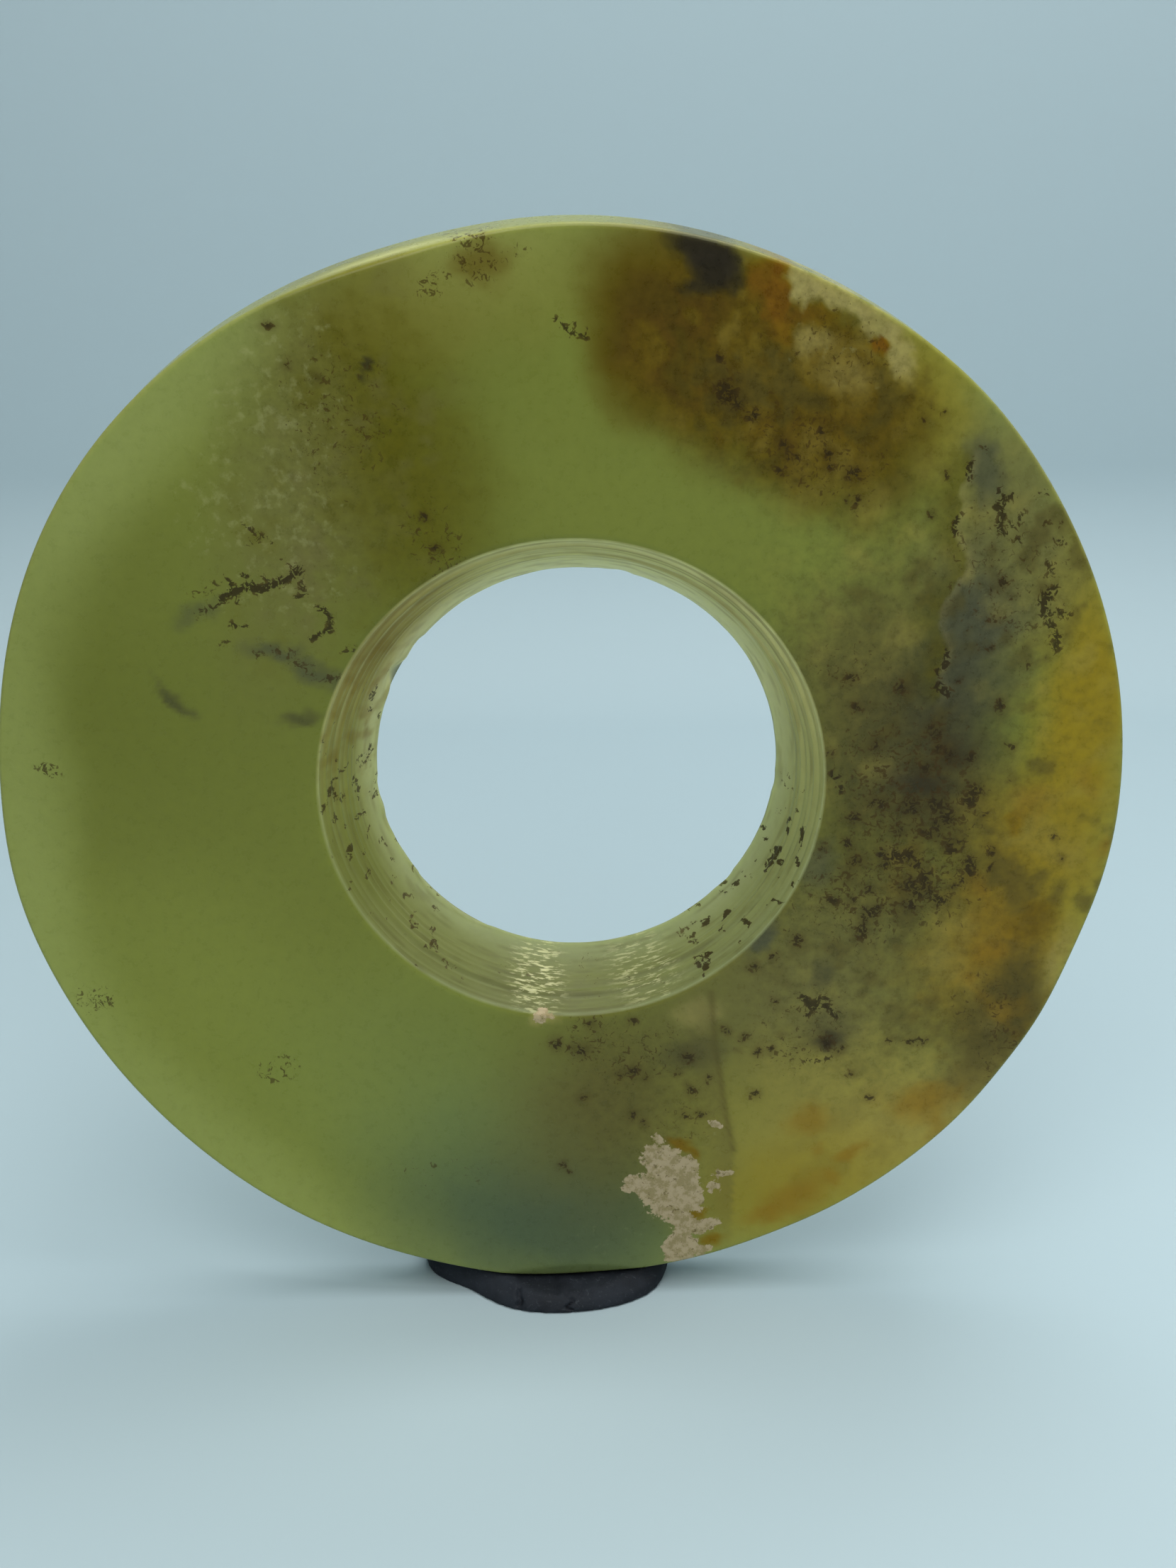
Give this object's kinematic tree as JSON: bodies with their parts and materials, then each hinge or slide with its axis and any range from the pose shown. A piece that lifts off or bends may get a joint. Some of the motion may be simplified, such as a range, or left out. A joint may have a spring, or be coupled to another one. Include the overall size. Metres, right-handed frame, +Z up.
{
  "type": "pierced stone disc on a putty foot",
  "caption": "Flat round disc of green translucent stone with a wide drilled centre hole, standing on edge in a small lump of dark putty.",
  "frame": {"origin": "on the ground under the middle of the whole object's box, at the putty foot's underside", "axes": "+Z up, the disc's front faces -Y and its hole runs along Y, +X to the right as seen from the front"},
  "size_m": [0.1204, 0.0216, 0.1226],
  "materials": {
    "jade": "polished, translucent",
    "putty": "matt, finger-pressed"
  },
  "bodies": {
    "root": {"jade_disc": "jade", "putty_foot": "putty"}
  },
  "joints": []
}
